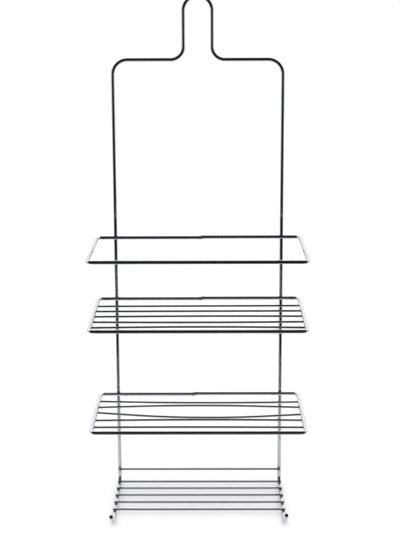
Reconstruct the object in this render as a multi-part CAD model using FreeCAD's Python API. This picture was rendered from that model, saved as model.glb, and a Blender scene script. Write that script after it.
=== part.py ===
"""Hanging shower caddy of chrome-plated steel wire, resistance welded where the wires cross.

Millimetres. The origin is the inside top of the hanging loop, where a shower arm bears. +Z is up, the wall
side is +Y and the open front is -Y. The two rails of the main frame stand in the plane y = 0.
"""

import FreeCAD, Part
import math
import os

V = FreeCAD.Vector

# Wire
FRAME_WIRE = 5.0          # diameter of the main frame and of the three hoops
GRID_WIRE = 3.0           # diameter of the cross wires
SET_IN = 0.35             # how far two wires sink into each other at a resistance weld
FRAME_END_ROUND = 0.35    # rounding of the main frame's cut ends
GRID_END_ROUND = 0.5      # rounding of the cross wires' cut ends

# Main frame, on wire centrelines
LOOP_WIDTH = 37.0         # hanging loop, leg to leg
SHOULDER_DROP = 81.0      # top of the loop to the shoulders
LOOP_BASE_BEND = 16.5     # bend where a loop leg turns out into a shoulder
RAIL_SPACING = 220.0      # rail to rail
SHOULDER_BEND = 19.0      # bend where a shoulder turns down into a rail
TRAY_DROP = 663.5         # top of the loop to the tray's side rails
TRAY_BEND = 10.0          # bend where a rail turns forward under the tray
HOOK_START = 108.0        # straight length of a tray side rail, from the rail's plane to its hook
HOOK_BEND = 12.0          # bend of a hook
LEFT_HOOK_ANGLE = 44.0    # how far each hook turns up, degrees: they are bent by hand and differ
RIGHT_HOOK_ANGLE = 50.0
HOOK_STRAIGHT = 14.0      # straight end of a hook
HOOK_SPLAY = 6.0          # how far a hook's end turns outward, degrees

# Hoops: the bottle rail and the rims of the two shelves
HOOP_WIDTH = 268.0        # side wire to side wire
HOOP_DEPTH = 130.0        # back wire to front wire
HOOP_BEND = 7.0           # corner bend
BUTT_STEP = 0.7           # mismatch of a hoop's two ends at their butt weld
BUTT_FLASH = 0.35         # height of the ring of flash that the butt weld leaves
BUTT_FLASH_LENGTH = 1.6   # length of that ring along the wire
BOTTLE_RAIL_DROP = 315.0  # top of the loop to the bottle rail's back wire
BOTTLE_RAIL_BUTT = 4.0    # butt weld, right of the middle
BOTTLE_RAIL_TILT = 0.0    # how far the front hangs down, degrees
UPPER_SHELF_DROP = 398.8
UPPER_SHELF_BUTT = 4.0
UPPER_SHELF_TILT = 1.5
LOWER_SHELF_DROP = 533.5
LOWER_SHELF_BUTT = -6.0
LOWER_SHELF_TILT = 0.0

# Shelf cross wires, under each rim
SHELF_FIRST_WIRE = 21.5   # back wire to the first cross wire
SHELF_WIRE_PITCH = 21.0   # cross wire to cross wire
SHELF_WIRE_OVERHANG = 1.2 # length of a cross wire past the side wire's centreline
BOW_BEND_SHARE = 0.45     # share of each run that a bowed wire's gentle bend takes
# Each cross wire was laid by hand: shift of its left end, shift of its right end, and bow of its middle,
# all towards the front.
UPPER_SHELF_LAY = [(0, 0, 0), (0, 0, 0), (0, 0, -1.5), (0, 0, 1.5), (0, 0.5, -3)]
LOWER_SHELF_LAY = [(-4, 0, 3.5), (-4, -2.5, -6.5), (-7.5, 0, 13), (-2.5, -2, -2), (-1.5, -0.5, -1)]

# Tray wires, on top of the tray's side rails
TRAY_WIRES = 5
TRAY_FIRST_WIRE = 8.0     # rails' plane to the first tray wire
TRAY_WIRE_PITCH = 20.0
TRAY_WIRE_OVERHANG = 2.5  # length of a tray wire past the rail's centreline
GUARD_HEIGHT = 20.0       # guard wire above the tray's side rails
GUARD_OVERHANG = 1.0

SHORTEST_RUN = 1e-6       # a straight run shorter than this is left out between two bends

# Levels and distances that follow from them
CROWN_Z = FRAME_WIRE / 2
SHOULDER_Z = CROWN_Z - SHOULDER_DROP
TRAY_Z = CROWN_Z - TRAY_DROP
FRAME_CROSSING = FRAME_WIRE - SET_IN               # hoop centreline to rail centreline
GRID_CROSSING = (FRAME_WIRE + GRID_WIRE) / 2 - SET_IN  # thin centreline to thick centreline


def rounded_corner(before, corner, after, radius):
    """Arc of the given radius, tangent to both runs that meet at a corner."""
    into = (corner - before).normalize()
    out = (after - corner).normalize()
    half_turn = into.getAngle(out) / 2
    inward = (out - into).normalize()
    tangent = radius * math.tan(half_turn)
    middle = corner + inward * (radius / math.cos(half_turn) - radius)
    return corner - into * tangent, middle, corner + out * tangent


def bent_path(points, radii):
    """Straight runs through the points, joined by tangent arcs at the inner points."""
    edges = []
    start = points[0]
    for i, radius in enumerate(radii, 1):
        arc_start, middle, arc_end = rounded_corner(points[i - 1], points[i], points[i + 1], radius)
        if (arc_start - start).Length > SHORTEST_RUN:
            edges.append(Part.LineSegment(start, arc_start).toShape())
        edges.append(Part.Arc(arc_start, middle, arc_end).toShape())
        start = arc_end
    if (points[-1] - start).Length > SHORTEST_RUN:
        edges.append(Part.LineSegment(start, points[-1]).toShape())
    return edges


def wire_along(edges, diameter):
    """Round wire whose centreline is a smooth chain of edges."""
    first = edges[0]
    start = first.valueAt(first.FirstParameter)
    along = first.tangentAt(first.FirstParameter)
    section = Part.Wire(Part.Circle(start, along, diameter / 2).toShape())
    return Part.Wire(edges).makePipeShell([section], True, False)


def round_ends(wire, radius):
    """Round the sharp rims of a wire's two cut ends."""
    rims = [edge for face in wire.Faces if isinstance(face.Surface, Part.Plane) for edge in face.Edges]
    return wire.makeFillet(radius, rims)


def hook(side, angle):
    """Tip and corner of a hook, at the front of a tray side rail."""
    splay = math.radians(HOOK_SPLAY)
    rise = math.radians(angle)
    forward = math.cos(rise)
    direction = V(side * forward * math.sin(splay), -forward * math.cos(splay), math.sin(rise))
    tangent = HOOK_BEND * math.tan(rise / 2)
    corner = V(side * RAIL_SPACING / 2, -HOOK_START - tangent, TRAY_Z)
    return [corner + direction * (tangent + HOOK_STRAIGHT), corner]


def main_frame():
    """One wire: left hook, tray side, rail, shoulder, hanging loop, and the same down the right side."""
    rail = RAIL_SPACING / 2
    leg = LOOP_WIDTH / 2
    half = []
    for side, angle in ((-1, LEFT_HOOK_ANGLE), (1, RIGHT_HOOK_ANGLE)):
        half.append(hook(side, angle) + [
            V(side * rail, 0, TRAY_Z),
            V(side * rail, 0, SHOULDER_Z),
            V(side * leg, 0, SHOULDER_Z),
            V(side * leg, 0, CROWN_Z),
        ])
    points = half[0] + half[1][::-1]
    bends = [HOOK_BEND, TRAY_BEND, SHOULDER_BEND, LOOP_BASE_BEND, leg]
    wire = wire_along(bent_path(points, bends + bends[::-1]), FRAME_WIRE)
    return round_ends(wire, FRAME_END_ROUND)


def side_lift(side, distance):
    """Height of a hoop's side wire above the hoop's plane, at a distance in front of the back wire."""
    return side * BUTT_STEP / 2 * (1 - distance / HOOP_DEPTH)


def hoop(butt):
    """Closed hoop in its own plane, back wire on y = 0: one wire, bent at four corners and butt welded."""
    half_width = HOOP_WIDTH / 2
    front = V(0, -HOOP_DEPTH, 0)
    lift_angle = math.degrees(math.atan2(BUTT_STEP / 2, HOOP_DEPTH))
    halves = []
    for side in (-1, 1):
        points = [
            V(butt, 0, 0),
            V(side * half_width, 0, 0),
            V(side * half_width, -HOOP_DEPTH, 0),
            V(butt, -HOOP_DEPTH, 0),
        ]
        half = wire_along(bent_path(points, [HOOP_BEND, HOOP_BEND]), FRAME_WIRE)
        half.rotate(front, V(1, 0, 0), side * lift_angle)
        halves.append(half)
    flash = Part.makeCylinder(
        FRAME_WIRE / 2 + BUTT_FLASH, BUTT_FLASH_LENGTH, V(butt - BUTT_FLASH_LENGTH / 2, 0, 0), V(1, 0, 0))
    flash = flash.makeFillet(BUTT_FLASH, [edge for edge in flash.Edges if isinstance(edge.Curve, Part.Circle)])
    return halves[0].fuse([halves[1], flash]).removeSplitter()


def shelf_wire(number, lay):
    """Cross wire under a rim, in the rim's plane."""
    left_shift, right_shift, bow = lay
    nominal = SHELF_FIRST_WIRE + number * SHELF_WIRE_PITCH
    left = nominal + left_shift
    right = nominal + right_shift
    reach = HOOP_WIDTH / 2 + SHELF_WIRE_OVERHANG
    ends = [
        V(-reach, -left, side_lift(-1, left) - GRID_CROSSING),
        V(reach, -right, side_lift(1, right) - GRID_CROSSING),
    ]
    return round_ends(wire_along(bowed_path(ends[0], ends[1], bow), GRID_WIRE), GRID_END_ROUND)


def bowed_path(start, end, bow):
    """Straight run, or one whose middle third stands forward, with long gentle bends beside it."""
    if bow == 0:
        return [Part.LineSegment(start, end).toShape()]
    third = (end - start) / 3
    forward = V(0, -bow, 0)
    points = [start, start + third + forward, end - third + forward, end]
    half_turn = (points[1] - start).getAngle(third) / 2
    bend = BOW_BEND_SHARE * third.Length / math.tan(half_turn)
    return bent_path(points, [bend, bend])


def place_on_rails(shape, drop, tilt):
    """Hang a hoop's piece on the front of the rails, tilted down about the back wire."""
    shape.rotate(V(0, 0, 0), V(1, 0, 0), tilt)
    shape.translate(V(0, -FRAME_CROSSING, CROWN_Z - drop))
    return shape


def shelf(name, drop, butt, tilt, lay, frame):
    """Rim and cross wires of a shelf: the rim is notched over the rails, the wires over the rim."""
    rim = place_on_rails(hoop(butt), drop, tilt)
    pieces = {f"{name}_rim": rim.cut(frame)}
    for number, wire_lay in enumerate(lay):
        wire = place_on_rails(shelf_wire(number, wire_lay), drop, tilt)
        pieces[f"{name}_wire_{number + 1}"] = wire.cut(rim)
    return pieces


def straight_wire(half_length, y, z):
    """Straight cross wire, centred between the rails."""
    run = Part.LineSegment(V(-half_length, y, z), V(half_length, y, z)).toShape()
    return round_ends(wire_along([run], GRID_WIRE), GRID_END_ROUND)


def tray(frame):
    """Five wires on the tray's side rails and one guard wire across the front of the rails."""
    pieces = {}
    half_length = RAIL_SPACING / 2 + TRAY_WIRE_OVERHANG
    for number in range(TRAY_WIRES):
        y = -TRAY_FIRST_WIRE - number * TRAY_WIRE_PITCH
        wire = straight_wire(half_length, y, TRAY_Z + GRID_CROSSING)
        pieces[f"tray_wire_{number + 1}"] = wire.cut(frame)
    guard = straight_wire(RAIL_SPACING / 2 + GUARD_OVERHANG, -GRID_CROSSING, TRAY_Z + GUARD_HEIGHT)
    pieces["tray_guard_wire"] = guard.cut(frame)
    return pieces


def caddy():
    """Every piece by name."""
    frame = main_frame()
    bottle_rail = place_on_rails(hoop(BOTTLE_RAIL_BUTT), BOTTLE_RAIL_DROP, BOTTLE_RAIL_TILT)
    pieces = {"main_frame": frame, "bottle_rail": bottle_rail.cut(frame)}
    pieces.update(shelf(
        "upper_shelf", UPPER_SHELF_DROP, UPPER_SHELF_BUTT, UPPER_SHELF_TILT, UPPER_SHELF_LAY, frame))
    pieces.update(shelf(
        "lower_shelf", LOWER_SHELF_DROP, LOWER_SHELF_BUTT, LOWER_SHELF_TILT, LOWER_SHELF_LAY, frame))
    pieces.update(tray(frame))
    return pieces


os.makedirs("parts", exist_ok=True)
for name, shape in caddy().items():
    box = shape.optimalBoundingBox(True, False)
    print(f"{name}: {len(shape.Solids)} solid, valid {shape.isValid()}, {shape.Volume:.1f} mm3, "
          f"x {box.XMin:.1f} {box.XMax:.1f}, y {box.YMin:.1f} {box.YMax:.1f}, z {box.ZMin:.1f} {box.ZMax:.1f}")
    shape.exportStep(f"parts/{name}.step")
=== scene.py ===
import math

import bpy
import numpy as np
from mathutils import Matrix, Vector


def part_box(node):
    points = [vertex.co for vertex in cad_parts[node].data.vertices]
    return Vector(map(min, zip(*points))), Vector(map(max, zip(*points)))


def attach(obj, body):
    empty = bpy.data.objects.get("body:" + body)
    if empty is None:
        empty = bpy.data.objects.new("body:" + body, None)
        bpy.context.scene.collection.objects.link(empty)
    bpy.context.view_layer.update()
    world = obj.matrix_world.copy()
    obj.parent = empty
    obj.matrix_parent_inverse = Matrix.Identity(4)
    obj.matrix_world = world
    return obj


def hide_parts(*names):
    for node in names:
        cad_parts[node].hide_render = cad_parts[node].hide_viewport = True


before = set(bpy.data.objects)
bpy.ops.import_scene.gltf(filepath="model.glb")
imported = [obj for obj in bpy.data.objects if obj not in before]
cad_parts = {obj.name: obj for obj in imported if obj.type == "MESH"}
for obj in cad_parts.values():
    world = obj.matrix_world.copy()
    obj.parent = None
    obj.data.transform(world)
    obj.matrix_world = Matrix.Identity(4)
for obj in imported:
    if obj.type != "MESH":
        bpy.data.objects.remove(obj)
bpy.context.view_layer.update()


# ---- Main frame ----------------------------------------------------------------------------------------
# One length of 5 mm mild steel wire, bent cold into the hanging loop, two shoulders and two rails, which
# turn forward under the tray and end in hooks. Its cut ends are tumbled round, and the whole welded caddy is
# then plated with nickel and chrome.

MM = 0.001
FRAME_RADIUS = 2.5
FRAME_END_ROUND = 0.35
FRAME_FACES = 40          # faces round a frame wire
RAIL = 110.0              # middle of the caddy to the centre of a rail
LOOP_LEG = 18.5           # middle of the caddy to the centre of a loop leg
LOOP_BASE_BEND = 16.5
SHOULDER_DROP = 81.0      # top of the loop to the shoulders
SHOULDER_BEND = 19.0
TRAY_BEND = 10.0
HOOK_START = 108.0        # rails' plane to the start of a hook
HOOK_BEND = 12.0
HOOK_STRAIGHT = 14.0
HOOK_SPLAY = 6.0          # degrees outward
LEFT_HOOK_ANGLE = 44.0    # degrees up
RIGHT_HOOK_ANGLE = 50.0

# What is welded to it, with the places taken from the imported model.
GRID_RADIUS = 1.5         # of the cross wires
SET_IN = 0.35             # how far two wires sink into each other at a weld
BUTT_FLASH = 0.35         # height of the ring of metal that a hoop's butt weld squeezes out
HOOPS = ["bottle_rail", "upper_shelf_rim", "lower_shelf_rim"]
TRAY_WIRES = [f"tray_wire_{number}" for number in range(1, 6)]
HOOP_BACK = -(2 * FRAME_RADIUS - SET_IN)
GRID_CROSSING = FRAME_RADIUS + GRID_RADIUS - SET_IN
ACROSS = np.array([1.0, 0.0, 0.0])
UP = np.array([0.0, 0.0, 1.0])

RING_SPACING = 10.0       # farthest apart that a wire's rings stand
RING_TURN = 4.0           # most degrees that a wire turns from ring to ring
SKIN_REACH = 4.0          # how far past a weld its close rings go
HAZE_SPACING = 0.9        # the rings' spacing where another wire's skin flows onto this one
SPACING_SLACK = 0.01      # share of a ring's spacing that rounding errors may add
END_CLEARANCE = 1.2       # how many roundings long an end is kept free of other rings
STEEP = 0.9               # upright share of a run from which its rings are set out sideways
WELD_FLOW = 0.9           # width of the metal that fills the corner between two welded wires
WELD_RISE = 1.0           # most that a skin is lifted to fill it
RISE_HALVINGS = 12        # steps in which the lift is narrowed down
HAZE_REACH = 2.2          # how far a weld's heat dulls the plating


def node_box(node):
    """Lowest and highest corner of a CAD node, in millimetres."""
    low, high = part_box(node)
    return np.array(low) / MM, np.array(high) / MM


def node_middle(node):
    low, high = node_box(node)
    return (low + high) / 2


def unit(vector):
    return vector / np.linalg.norm(vector)


def straight_run(start, end):
    """Points after the start of a straight run, up to its end."""
    steps = max(1, math.ceil(np.linalg.norm(end - start) / RING_SPACING))
    return [start + (end - start) * step / steps for step in range(1, steps + 1)]


def bent_line(points, bends):
    """Centreline of a wire that runs straight between the points and turns each inner one on a bend."""
    points = [np.array(point, float) for point in points]
    line = [points[0]]
    for before, corner, after, radius in zip(points, points[1:], points[2:], bends):
        into, out = unit(corner - before), unit(after - corner)
        turn = math.acos(into @ out)
        start = corner - into * radius * math.tan(turn / 2)
        line += straight_run(line[-1], start)
        inward = unit(out - into * (into @ out)) * radius
        steps = math.ceil(max(math.degrees(turn) / RING_TURN, turn * radius / RING_SPACING))
        for step in range(1, steps + 1):
            angle = turn * step / steps
            line.append(start + into * radius * math.sin(angle) + inward * (1 - math.cos(angle)))
    return line + straight_run(line[-1], points[-1])


def close_rings(line, places, reach, spacing):
    """The same line, with its points no farther apart than the spacing within reach of the places."""
    places = np.array(places).reshape(-1, 3)
    finer = [line[0]]
    for start, end in zip(line, line[1:]):
        run = end - start
        share = np.clip((places - start) @ run / (run @ run), 0, 1)
        near = np.linalg.norm(places - start - share[:, None] * run, axis=1) < reach
        steps = math.ceil(np.linalg.norm(run) / spacing - SPACING_SLACK) if near.any() else 1
        finer += [start + run * step / steps for step in range(1, steps + 1)]
    return finer


def tumbled_ends(line, radius, rounding):
    """The line of a cut wire with rings set for its rounded ends, and each ring's radius."""
    turns = np.radians([0, 22.5, 45, 67.5, 90])
    insets = rounding * (1 - np.cos(turns))
    rims = radius - rounding + rounding * np.sin(turns)
    first, last = line[0], line[-1]
    inner = [
        point for point in line
        if min(math.dist(point, first), math.dist(point, last)) > END_CLEARANCE * rounding]
    start = [first + unit(inner[0] - first) * inset for inset in insets]
    end = [last + unit(inner[-1] - last) * inset for inset in insets]
    return start + inner + end[::-1], np.concatenate([rims, np.full(len(inner), radius), rims[::-1]])


def ring_axes(line, closed):
    """Two cross directions of each ring, carried along the wire without twisting."""
    runs = np.roll(line, -1, axis=0) - line
    runs /= np.linalg.norm(runs, axis=1)[:, None]
    if not closed:
        runs[-1] = runs[-2]
    before = np.roll(runs, 1, axis=0)
    if not closed:
        before[0] = runs[0]
    tangents = runs + before
    tangents /= np.linalg.norm(tangents, axis=1)[:, None]
    across = [unit(np.cross(tangents[0], UP if abs(tangents[0] @ UP) < STEEP else ACROSS))]
    for tangent in tangents[1:]:
        across.append(unit(across[-1] - tangent * (across[-1] @ tangent)))
    return np.array(across), np.cross(tangents, across)


def weld_lift(skin, outward, welds):
    """How far each point of a wire's skin rises to flow smoothly onto the wires that it is welded to."""
    lift = np.zeros(len(skin))
    for place, direction, radius in welds:
        near = np.flatnonzero(np.linalg.norm(skin - place, axis=1) < radius + SKIN_REACH)
        low, high = np.zeros(len(near)), np.full(len(near), WELD_RISE)
        for _ in range(RISE_HALVINGS):
            rise = (low + high) / 2
            offset = skin[near] + outward[near] * rise[:, None] - place
            gap = np.linalg.norm(np.cross(offset, direction), axis=1) - radius
            shared = np.maximum(WELD_FLOW - np.abs(rise - gap), 0)
            buried = np.minimum(rise, gap) < shared**2 / (4 * WELD_FLOW)
            low, high = np.where(buried, rise, low), np.where(buried, high, rise)
        lift[near] = np.maximum(lift[near], low)
    return lift


def wire_piece(name, line, radii, faces, flows_onto=(), carries=(), closed=False, offsets=(0, 0, 0)):
    """A round wire with a ring at each point of the line, square to it and then moved by its offset.

    flows_onto and carries list the welds, as the place, direction and radius of the other wire, and this
    wire's skin flows onto the first kind. Two attributes serve the plating: drawn, the place on the wire
    before it was bent, in millimetres, and haze, how much a weld's heat has dulled it."""
    line = np.array(line)
    across, over = ring_axes(line, closed)
    angles = np.arange(faces) * 2 * math.pi / faces
    outward = across[:, None] * np.cos(angles)[:, None] + over[:, None] * np.sin(angles)[:, None]
    outward = outward.reshape(-1, 3)
    around = np.repeat(radii, faces)
    skin = np.repeat(line + offsets, faces, axis=0) + outward * around[:, None]
    haze = np.zeros(len(skin))
    for place, _, radius in [*flows_onto, *carries]:
        away = np.maximum(np.linalg.norm(skin - place, axis=1) - radius, 0)
        haze = np.maximum(haze, np.exp(-(away / HAZE_REACH) ** 2))
    skin += outward * weld_lift(skin, outward, flows_onto)[:, None]
    steps = np.linalg.norm(np.diff(line, axis=0), axis=1)
    along = np.repeat(np.concatenate([[0], np.cumsum(steps)]), faces)
    drawn = np.column_stack([
        around * np.tile(np.cos(angles), len(line)), around * np.tile(np.sin(angles), len(line)), along])
    rings = np.arange(len(line) * faces).reshape(-1, faces)
    ahead = np.roll(rings, -1, axis=0) if closed else rings[1:]
    behind = rings if closed else rings[:-1]
    skin_faces = np.stack([
        behind, np.roll(behind, -1, axis=1), np.roll(ahead, -1, axis=1), ahead,
    ], axis=-1).reshape(-1, 4).tolist()
    cut_faces = [] if closed else [rings[0][::-1].tolist(), rings[-1].tolist()]
    mesh = bpy.data.meshes.new(name)
    mesh.from_pydata((skin * MM).tolist(), [], skin_faces + cut_faces)
    mesh.polygons.foreach_set("use_smooth", [True] * len(skin_faces) + [False] * len(cut_faces))
    mesh.attributes.new("drawn", "FLOAT_VECTOR", "POINT").data.foreach_set("vector", drawn.ravel())
    mesh.attributes.new("haze", "FLOAT", "POINT").data.foreach_set("value", haze)
    piece = bpy.data.objects.new(name, mesh)
    bpy.context.scene.collection.objects.link(piece)
    return piece


# Bright chrome is a mirror with a faintly cold tint. It is electroplated over nickel on drawn wire, so what
# breaks up its reflections is slight: lines from the drawing die along the wire, slow changes in the depth
# of the plating, dried water spots, and a dull, pitted ring of heat round every weld. Die lines are really
# about 0.05 mm apart and pits 0.1 mm wide, and both are drawn coarser so that they show.
DIE_LINE_PITCH = 0.8
DIE_LINE_LENGTH = 60.0
DIE_LINES_FAINT, DIE_LINES_DEEP = 0.35, 0.7   # the part of the lines' noise that shows
DIE_LINE_DULLNESS = 0.05  # roughness that the deepest lines add
DIE_LINE_RELIEF = 0.1     # their depth, as a share of the deepest pits'
PLATING_PATCH = 30.0      # size of a patch of deeper or thinner plating
SPOT_SPACING = 12.0       # from one water spot to the next
SPOT_RADIUS = 2.0
SPOT_CORE = 0.7           # share of a spot's radius that is evenly dull
SPOT_DULLNESS = 0.15
HAZE_DULLNESS = 0.22
PIT_SIZE = 0.6
PIT_DEPTH = 0.05          # of the deepest pits
RELIEF_STRENGTH = 0.6


def linear(colour):
    """The linear colour that a shader takes, from sRGB hex."""
    parts = [int(colour[start:start + 2], 16) / 255 for start in (1, 3, 5)]
    return [part / 12.92 if part <= 0.04045 else ((part + 0.055) / 1.055) ** 2.4 for part in parts] + [1.0]


def add_node(tree, kind, inputs, **settings):
    """Adds a node, makes its settings, and gives each named or numbered input a value or a link."""
    made = tree.nodes.new(kind)
    for setting, value in settings.items():
        setattr(made, setting, value)
    for socket, value in inputs.items():
        if isinstance(value, bpy.types.NodeSocket):
            tree.links.new(value, made.inputs[socket])
        else:
            made.inputs[socket].default_value = value
    return made


def chrome_plate(name, deep, thin, weld_tint, polish):
    """Chrome plate, with the tints of deep and thin plating and of a weld's haze, and its best polished
    skin's roughness."""
    material = bpy.data.materials.new(name)
    material.use_nodes = True
    tree = material.node_tree
    tree.nodes.clear()
    drawn = add_node(tree, "ShaderNodeAttribute", {}, attribute_name="drawn").outputs["Vector"]
    haze = add_node(tree, "ShaderNodeAttribute", {}, attribute_name="haze").outputs["Fac"]
    stretched = add_node(tree, "ShaderNodeVectorMath", {
        0: drawn, 1: (1 / DIE_LINE_PITCH, 1 / DIE_LINE_PITCH, 1 / DIE_LINE_LENGTH),
    }, operation="MULTIPLY")
    lines = add_node(tree, "ShaderNodeTexNoise", {
        "Vector": stretched.outputs[0], "Scale": 1.0, "Detail": 2.0}).outputs["Fac"]
    patches = add_node(tree, "ShaderNodeTexNoise", {
        "Vector": drawn, "Scale": 1 / PLATING_PATCH, "Detail": 3.0}).outputs["Fac"]
    pits = add_node(tree, "ShaderNodeTexNoise", {
        "Vector": drawn, "Scale": 1 / PIT_SIZE, "Detail": 1.0}).outputs["Fac"]
    cells = add_node(tree, "ShaderNodeTexVoronoi", {"Vector": drawn, "Scale": 1 / SPOT_SPACING})
    spots = add_node(tree, "ShaderNodeMapRange", {
        "Value": cells.outputs["Distance"], "From Min": SPOT_RADIUS / SPOT_SPACING,
        "From Max": SPOT_CORE * SPOT_RADIUS / SPOT_SPACING, "To Min": 0.0, "To Max": SPOT_DULLNESS,
    }, interpolation_type="SMOOTHSTEP").outputs["Result"]
    plate = add_node(tree, "ShaderNodeMix", {
        0: patches, 6: linear(deep), 7: linear(thin)}, data_type="RGBA").outputs[2]
    tint = add_node(tree, "ShaderNodeMix", {
        0: haze, 6: plate, 7: linear(weld_tint)}, data_type="RGBA").outputs[2]
    lined = add_node(tree, "ShaderNodeMapRange", {
        "Value": lines, "From Min": DIE_LINES_FAINT, "From Max": DIE_LINES_DEEP,
        "To Min": polish, "To Max": polish + DIE_LINE_DULLNESS})
    spotted = add_node(tree, "ShaderNodeMath", {0: lined.outputs[0], 1: spots}, operation="ADD")
    roughness = add_node(tree, "ShaderNodeMath", {
        0: haze, 1: HAZE_DULLNESS, 2: spotted.outputs[0]}, operation="MULTIPLY_ADD")
    pitted = add_node(tree, "ShaderNodeMath", {0: pits, 1: haze}, operation="MULTIPLY")
    relief = add_node(tree, "ShaderNodeMath", {
        0: lines, 1: DIE_LINE_RELIEF, 2: pitted.outputs[0]}, operation="MULTIPLY_ADD")
    bump = add_node(tree, "ShaderNodeBump", {
        "Height": relief.outputs[0], "Strength": RELIEF_STRENGTH, "Distance": PIT_DEPTH * MM})
    shader = add_node(tree, "ShaderNodeBsdfPrincipled", {
        "Base Color": tint, "Metallic": 1.0, "Roughness": roughness.outputs[0], "Normal": bump.outputs[0]})
    add_node(tree, "ShaderNodeOutputMaterial", {"Surface": shader.outputs[0]})
    return material


frame_chrome = chrome_plate("bright_chrome_on_frame_wire", "#D3D4D7", "#C8C8CB", "#A3A1A0", polish=0.05)


def fit_piece(piece, node, material):
    """Puts a finished piece in the place of its CAD node."""
    piece.data.materials.append(material)
    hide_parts(node)
    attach(piece, "root")


frame_low, frame_high = node_box("main_frame")
CROWN_Z = frame_high[2] - FRAME_RADIUS
SHOULDER_Z = CROWN_Z - SHOULDER_DROP
TRAY_Z = frame_low[2] + FRAME_RADIUS
GUARD_Z = node_middle("tray_guard_wire")[2]
HOOP_LEVELS = {hoop: node_box(hoop)[1][2] - FRAME_RADIUS - BUTT_FLASH for hoop in HOOPS}
TRAY_PLACES = {wire: node_middle(wire)[1] for wire in TRAY_WIRES}


def half_frame(side, angle):
    """Points of one half of the frame, from its hook's tip to the top of the loop."""
    splay, rise = math.radians(HOOK_SPLAY), math.radians(angle)
    direction = np.array([
        side * math.cos(rise) * math.sin(splay), -math.cos(rise) * math.cos(splay), math.sin(rise)])
    tangent = HOOK_BEND * math.tan(rise / 2)
    corner = np.array([side * RAIL, -HOOK_START - tangent, TRAY_Z])
    return [
        corner + direction * (tangent + HOOK_STRAIGHT),
        corner,
        (side * RAIL, 0, TRAY_Z),
        (side * RAIL, 0, SHOULDER_Z),
        (side * LOOP_LEG, 0, SHOULDER_Z),
        (side * LOOP_LEG, 0, CROWN_Z),
    ]


frame_welds = []
for x in (-RAIL, RAIL):
    frame_welds += [((x, HOOP_BACK, level), ACROSS, FRAME_RADIUS) for level in HOOP_LEVELS.values()]
    frame_welds += [((x, y, TRAY_Z + GRID_CROSSING), ACROSS, GRID_RADIUS) for y in TRAY_PLACES.values()]
    frame_welds.append(((x, -GRID_CROSSING, GUARD_Z), ACROSS, GRID_RADIUS))
bends = [HOOK_BEND, TRAY_BEND, SHOULDER_BEND, LOOP_BASE_BEND, LOOP_LEG]
frame_line = bent_line(
    half_frame(-1, LEFT_HOOK_ANGLE) + half_frame(1, RIGHT_HOOK_ANGLE)[::-1], bends + bends[::-1])
frame_line = close_rings(
    frame_line, [weld[0] for weld in frame_welds], FRAME_RADIUS + SKIN_REACH, HAZE_SPACING)
frame_line, frame_radii = tumbled_ends(frame_line, FRAME_RADIUS, FRAME_END_ROUND)
main_frame = wire_piece("chromed_main_frame", frame_line, frame_radii, FRAME_FACES, carries=frame_welds)
fit_piece(main_frame, "main_frame", frame_chrome)


# ---- Bottle rail -----------------------------------------------------------------------------------------
# A hoop of the same wire, bent round four corners and closed by a butt weld near the middle of its back wire.
# The two ends never meet quite level, and the weld leaves a low ring of metal. The hoop lies on the front of
# the rails, and is welded to both of them.

HOOP_WIDTH = 268.0        # side wire to side wire
HOOP_DEPTH = 130.0        # back wire to front wire
HOOP_BEND = 7.0
BUTT_STEP = 0.7           # mismatch of the hoop's two ends where they are butt welded
BUTT_LENGTH = 1.6         # length along the wire of the ring of metal at the butt weld
BUTT_SPACING = 0.2        # the rings' spacing there
SKIN_SPACING = 0.4        # and where the hoop's skin flows onto a rail


def side_lift(side, distance):
    """Height of a hoop's side wire above the hoop's plane, at a distance in front of its back wire."""
    return side * BUTT_STEP / 2 * (1 - distance / HOOP_DEPTH)


def hung(plan, level, tilt):
    """Points given in a hoop's own plane, as x, distance in front of its back wire and height."""
    plan = np.array(plan, float).reshape(-1, 3)
    turn = math.radians(tilt)
    forward = np.array([0, -math.cos(turn), -math.sin(turn)])
    upward = np.array([0, -math.sin(turn), math.cos(turn)])
    return np.outer(plan[:, 0], ACROSS) + np.outer(plan[:, 1], forward) + np.outer(plan[:, 2], upward) + (
        0, HOOP_BACK, level)


def hoop_piece(node, butt, tilt=0.0, crossings=()):
    """A hoop with its butt weld that far right of the middle. crossings are the places, in its own plane,
    of the centres of the cross wires that are welded under its sides."""
    level = HOOP_LEVELS[node]
    half = HOOP_WIDTH / 2
    start, end = butt - BUTT_SPACING / 2, butt + BUTT_SPACING / 2
    plan = bent_line([
        (start, 0, 0), (-half, 0, 0), (-half, HOOP_DEPTH, 0),
        (half, HOOP_DEPTH, 0), (half, 0, 0), (end, 0, 0),
    ], [HOOP_BEND] * 4)
    plan = close_rings(plan, [(butt, 0, 0)], BUTT_LENGTH, BUTT_SPACING)
    plan = close_rings(plan, [(-RAIL, 0, 0), (RAIL, 0, 0)], FRAME_RADIUS + SKIN_REACH, SKIN_SPACING)
    plan = np.array(close_rings(plan, crossings, FRAME_RADIUS + SKIN_REACH, HAZE_SPACING))
    from_butt = np.where(plan[:, 1] < HOOP_BEND, np.abs(plan[:, 0] - butt), BUTT_LENGTH)
    rim = np.maximum(from_butt - BUTT_LENGTH / 2 + BUTT_FLASH, 0)
    radii = FRAME_RADIUS + np.sqrt(np.maximum(BUTT_FLASH**2 - rim**2, 0))
    sides = np.clip((plan[:, 0] - butt) / (BUTT_LENGTH / 2), -1, 1)
    offsets = np.outer(side_lift(sides, plan[:, 1]), UP)
    onto = [(np.array([x, 0, level]), UP, FRAME_RADIUS) for x in (-RAIL, RAIL)]
    carries = [(hung([(butt, 0, 0)], level, tilt)[0], ACROSS, FRAME_RADIUS)]
    carries += [(place, ACROSS, GRID_RADIUS) for place in hung(crossings, level, tilt)]
    hoop = wire_piece(
        f"chromed_{node}", hung(plan, level, tilt), radii, FRAME_FACES, onto, carries, True, offsets)
    fit_piece(hoop, node, frame_chrome)


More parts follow.
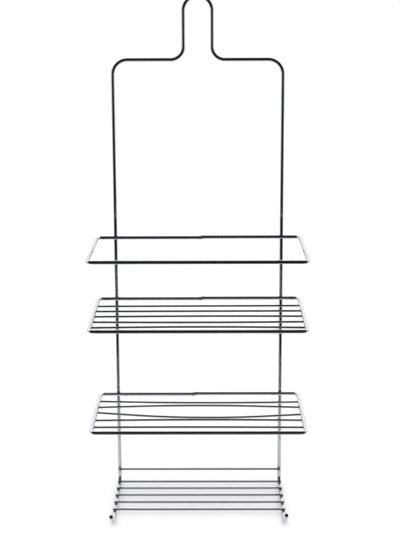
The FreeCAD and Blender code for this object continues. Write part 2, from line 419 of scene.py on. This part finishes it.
hoop_piece("bottle_rail", butt=4.0)


# ---- Upper shelf -----------------------------------------------------------------------------------------
# A second hoop, whose front hangs a little low, with five 3 mm cross wires. The wires are sheared from
# straight stock and laid under the rim by hand, which leaves some of them bowed or off their pitch, and each
# is resistance welded at both sides.

GRID_FACES = 32           # faces round a cross wire
GRID_END_ROUND = 0.5
SHELF_FIRST_WIRE = 21.5   # back wire to the first cross wire
SHELF_WIRE_PITCH = 21.0
SHELF_WIRE_OVERHANG = 1.2 # length of a cross wire past the side wire's centreline
BOW_BEND_SHARE = 0.45     # share of each run that a bowed wire's gentle bend takes

# The cross wires have the same plating as the frame, but their tints are set darker than the frame's. This is
# painted shade, standing in for how dark the thin wires look in what they reflect.
grid_chrome = chrome_plate("bright_chrome_on_cross_wire_painted_darker", "#C1C2C4", "#AFAFB2", "#8E8C8B", polish=0.07)


def bowed_line(start, end, bow):
    """A straight run, or one whose middle third stands forward."""
    if bow == 0:
        return [start] + straight_run(start, end)
    third = (end - start) / 3
    forward = np.array([0, bow, 0])
    points = [start, start + third + forward, end - third + forward, end]
    half_turn = math.acos(unit(points[1] - start) @ unit(third)) / 2
    bend = BOW_BEND_SHARE * np.linalg.norm(third) / math.tan(half_turn)
    return bent_line(points, [bend, bend])


def cross_wire(node, line, onto):
    """A 3 mm wire welded onto two thicker ones."""
    line = close_rings(line, [place for place, _, _ in onto], GRID_RADIUS + SKIN_REACH, SKIN_SPACING)
    line, radii = tumbled_ends(line, GRID_RADIUS, GRID_END_ROUND)
    fit_piece(wire_piece(f"chromed_{node}", line, radii, GRID_FACES, onto), node, grid_chrome)


def shelf(name, butt, tilt, lay):
    """Rim and cross wires. lay gives each wire's shift at its left end, at its right end, and the bow of its
    middle, all towards the front."""
    rim = f"{name}_rim"
    level = HOOP_LEVELS[rim]
    half = HOOP_WIDTH / 2
    sides = []
    for number, (left_shift, right_shift, _) in enumerate(lay):
        nominal = SHELF_FIRST_WIRE + number * SHELF_WIRE_PITCH
        sides.append([(side, nominal + shift) for side, shift in ((-1, left_shift), (1, right_shift))])
    crossings = [
        (side * half, distance, side_lift(side, distance) - GRID_CROSSING)
        for pair in sides for side, distance in pair]
    hoop_piece(rim, butt, tilt, crossings)
    for number, (pair, (_, _, bow)) in enumerate(zip(sides, lay)):
        ends = [np.array([
            side * (half + SHELF_WIRE_OVERHANG), distance, side_lift(side, distance) - GRID_CROSSING,
        ]) for side, distance in pair]
        plan = bowed_line(ends[0], ends[1], bow)
        onto = []
        for side, distance in pair:
            places = hung(
                [(side * half, at, side_lift(side, at)) for at in (distance, distance + 1)], level, tilt)
            onto.append((places[0], unit(places[1] - places[0]), FRAME_RADIUS))
        cross_wire(f"{name}_wire_{number + 1}", list(hung(plan, level, tilt)), onto)


shelf("upper_shelf", butt=4.0, tilt=1.5, lay=[(0, 0, 0), (0, 0, 0), (0, 0, -1.5), (0, 0, 1.5), (0, 0.5, -3)])


# ---- Lower shelf -----------------------------------------------------------------------------------------
# Made as the upper shelf is, and hung level. Its wires were laid with less care: the middle one bows 13 mm
# towards the front and almost touches the next.

shelf("lower_shelf", butt=-6.0, tilt=0.0, lay=[
    (-4, 0, 3.5), (-4, -2.5, -6.5), (-7.5, 0, 13), (-2.5, -2, -2), (-1.5, -0.5, -1)])


# ---- Tray ------------------------------------------------------------------------------------------------
# Five cross wires welded on top of the rails where they turn forward, as a soap dish, and one guard wire
# across the front of the rails, which keeps the soap from sliding out at the back.

TRAY_WIRE_OVERHANG = 2.5  # length of a tray wire past the rail's centreline
GUARD_OVERHANG = 1.0
FORWARD = np.array([0.0, -1.0, 0.0])


def rail_wire(node, y, z, overhang, rail_y, rail_z, rail_direction):
    """A straight cross wire at y and z, between rails whose centres are there at rail_y and rail_z."""
    ends = [np.array([side * (RAIL + overhang), y, z]) for side in (-1, 1)]
    onto = [(np.array([x, rail_y, rail_z]), rail_direction, FRAME_RADIUS) for x in (-RAIL, RAIL)]
    cross_wire(node, [ends[0]] + straight_run(*ends), onto)


for wire, y in TRAY_PLACES.items():
    rail_wire(wire, y, TRAY_Z + GRID_CROSSING, TRAY_WIRE_OVERHANG, y, TRAY_Z, FORWARD)
rail_wire("tray_guard_wire", -GRID_CROSSING, GUARD_Z, GUARD_OVERHANG, 0, GUARD_Z, UP)


# ---- Floor -----------------------------------------------------------------------------------------------
# A sheet of matt white board that the caddy stands on.

FLOOR_SIZE = 4.0          # metres, from the caddy to each edge
FLOOR_GAP = 0.1           # keeps the board's face clear of the lowest wire's

board = bpy.data.materials.new("matt_white_board")
board.use_nodes = True
board.node_tree.nodes.clear()
board_skin = add_node(board.node_tree, "ShaderNodeBsdfDiffuse", {"Color": linear("#F7F7F7")})
add_node(board.node_tree, "ShaderNodeOutputMaterial", {"Surface": board_skin.outputs[0]})


def flat_sheet(name, near, near_half_width, far, far_half_width, z, material):
    """A level sheet between two y, in metres, which is no part of the caddy."""
    mesh = bpy.data.meshes.new(name)
    mesh.from_pydata([
        (-near_half_width, near, z), (-far_half_width, far, z),
        (far_half_width, far, z), (near_half_width, near, z),
    ], [], [(0, 1, 2, 3)])
    mesh.materials.append(material)
    sheet = bpy.data.objects.new(name, mesh)
    bpy.context.scene.collection.objects.link(sheet)
    return sheet


FLOOR_Z = (frame_low[2] - FLOOR_GAP) * MM
flat_sheet("floor", FLOOR_SIZE, FLOOR_SIZE, -FLOOR_SIZE, FLOOR_SIZE, FLOOR_Z, board)


# ---- Light -----------------------------------------------------------------------------------------------
# Chrome shows only what stands round it: a white tent, lit brightest over the top, the unlit studio through
# its open front, and three cards on the floor, which are there for reflections alone. A broad soft light
# high in front makes the shadows fall to the back.

OPENING_RISE = 40.0       # the tent's opening faces forward, this many degrees above level
OPENING_HALF_ANGLE = 72.0
OPENING_EDGE = 6.0        # half the width of its soft edge, in degrees
STUDIO_BRIGHTNESS = 0.022
SIDE_BRIGHTNESS = 0.95    # of the tent's walls
LIT_BRIGHTNESS = 1.7      # where the tent's own lamps shine through it
LIT_RISE = 80.0           # degrees above level at the back that they shine from
LIT_EDGE, LIT_CORE = 0.1, 0.9     # cosines of the angles off it where their light ends and is full
SOFT_LIGHT_STRENGTH = 0.85
SOFT_LIGHT_SPREAD = 70.0  # degrees
SOFT_LIGHT_LEAN = 35.0    # degrees forward from straight above

world = bpy.data.worlds.new("white_tent")
bpy.context.scene.world = world
world.use_nodes = True
room = world.node_tree
room.nodes.clear()
direction = add_node(room, "ShaderNodeTexCoord", {}).outputs["Generated"]
lit_rise = math.radians(LIT_RISE)
backness = add_node(room, "ShaderNodeVectorMath", {
    0: direction, 1: (0, math.cos(lit_rise), math.sin(lit_rise))}, operation="DOT_PRODUCT").outputs["Value"]
walls = add_node(room, "ShaderNodeMapRange", {
    "Value": backness, "From Min": LIT_EDGE, "From Max": LIT_CORE,
    "To Min": SIDE_BRIGHTNESS, "To Max": LIT_BRIGHTNESS,
}, interpolation_type="SMOOTHSTEP").outputs["Result"]
opening_rise = math.radians(OPENING_RISE)
frontness = add_node(room, "ShaderNodeVectorMath", {
    0: direction, 1: (0, -math.cos(opening_rise), math.sin(opening_rise)),
}, operation="DOT_PRODUCT").outputs["Value"]
around = add_node(room, "ShaderNodeMapRange", {
    "Value": frontness,
    "From Min": math.cos(math.radians(OPENING_HALF_ANGLE + OPENING_EDGE)),
    "From Max": math.cos(math.radians(OPENING_HALF_ANGLE - OPENING_EDGE)),
    "To Min": walls, "To Max": STUDIO_BRIGHTNESS,
}, interpolation_type="SMOOTHSTEP").outputs["Result"]
reflected = add_node(room, "ShaderNodeLightPath", {}).outputs["Is Glossy Ray"]
brightness = add_node(room, "ShaderNodeMix", {0: reflected, 2: 1.0, 3: around}, data_type="FLOAT").outputs[0]
tent = add_node(room, "ShaderNodeBackground", {"Color": linear("#FFFFFF"), "Strength": brightness})
add_node(room, "ShaderNodeOutputWorld", {"Surface": tent.outputs[0]})

soft_light = bpy.data.lights.new("soft_light", "SUN")
soft_light.energy = SOFT_LIGHT_STRENGTH
soft_light.angle = math.radians(SOFT_LIGHT_SPREAD)
soft_lamp = bpy.data.objects.new("soft_light", soft_light)
soft_lamp.rotation_euler = (math.radians(SOFT_LIGHT_LEAN), 0, 0)
soft_lamp.visible_glossy = False
bpy.context.scene.collection.objects.link(soft_lamp)


# The pale card lies under the caddy and behind it, the grey one just in front of it, and the black one from
# there on.
GREY_CARD_START, BLACK_CARD_START = -0.145, -0.28     # metres, from the rails' plane
NARROW_HALF_WIDTH, WIDE_HALF_WIDTH = 1.7, 9.0         # metres
CARD_LIFT = 0.0005        # metres above the board


def card(name, near, near_half_width, far, far_half_width, colour):
    """A card on the floor that only reflections show."""
    material = bpy.data.materials.new(name)
    material.use_nodes = True
    material.node_tree.nodes.clear()
    glow = add_node(material.node_tree, "ShaderNodeEmission", {"Color": linear(colour)})
    add_node(material.node_tree, "ShaderNodeOutputMaterial", {"Surface": glow.outputs[0]})
    sheet = flat_sheet(name, near, near_half_width, far, far_half_width, FLOOR_Z + CARD_LIFT, material)
    sheet.visible_camera = sheet.visible_diffuse = sheet.visible_shadow = False


card("pale_card", FLOOR_SIZE, FLOOR_SIZE, GREY_CARD_START, FLOOR_SIZE, "#EDEDEF")
card("grey_card", GREY_CARD_START, NARROW_HALF_WIDTH, BLACK_CARD_START, NARROW_HALF_WIDTH, "#B5B4B7")
card("black_card", BLACK_CARD_START, NARROW_HALF_WIDTH, -FLOOR_SIZE, WIDE_HALF_WIDTH, "#1C1C1C")


# ---- Camera ----------------------------------------------------------------------------------------------
# Stands in front, a little above the hanging loop, and looks down at the shelves.

CAMERA_ASIDE = 0.0121     # metres right of the middle
CAMERA_DISTANCE = 1.4     # metres in front of the rails
CAMERA_RISE = 0.015       # metres above the top of the loop
CAMERA_TURN = (79.56, 0.22, 0.36)     # degrees about x, y and z
CAMERA_LENS = 73.1        # millimetres, on a frame 36 mm high
CAMERA_SHIFT = -0.16      # frames down

camera = bpy.data.cameras.new("camera")
camera.lens = CAMERA_LENS
camera.shift_y = CAMERA_SHIFT
camera_stand = bpy.data.objects.new("camera", camera)
camera_stand.location = (CAMERA_ASIDE, -CAMERA_DISTANCE, frame_high[2] * MM + CAMERA_RISE)
camera_stand.rotation_euler = [math.radians(turn) for turn in CAMERA_TURN]
bpy.context.scene.collection.objects.link(camera_stand)
bpy.context.scene.camera = camera_stand
bpy.context.scene.view_settings.view_transform = "Standard"
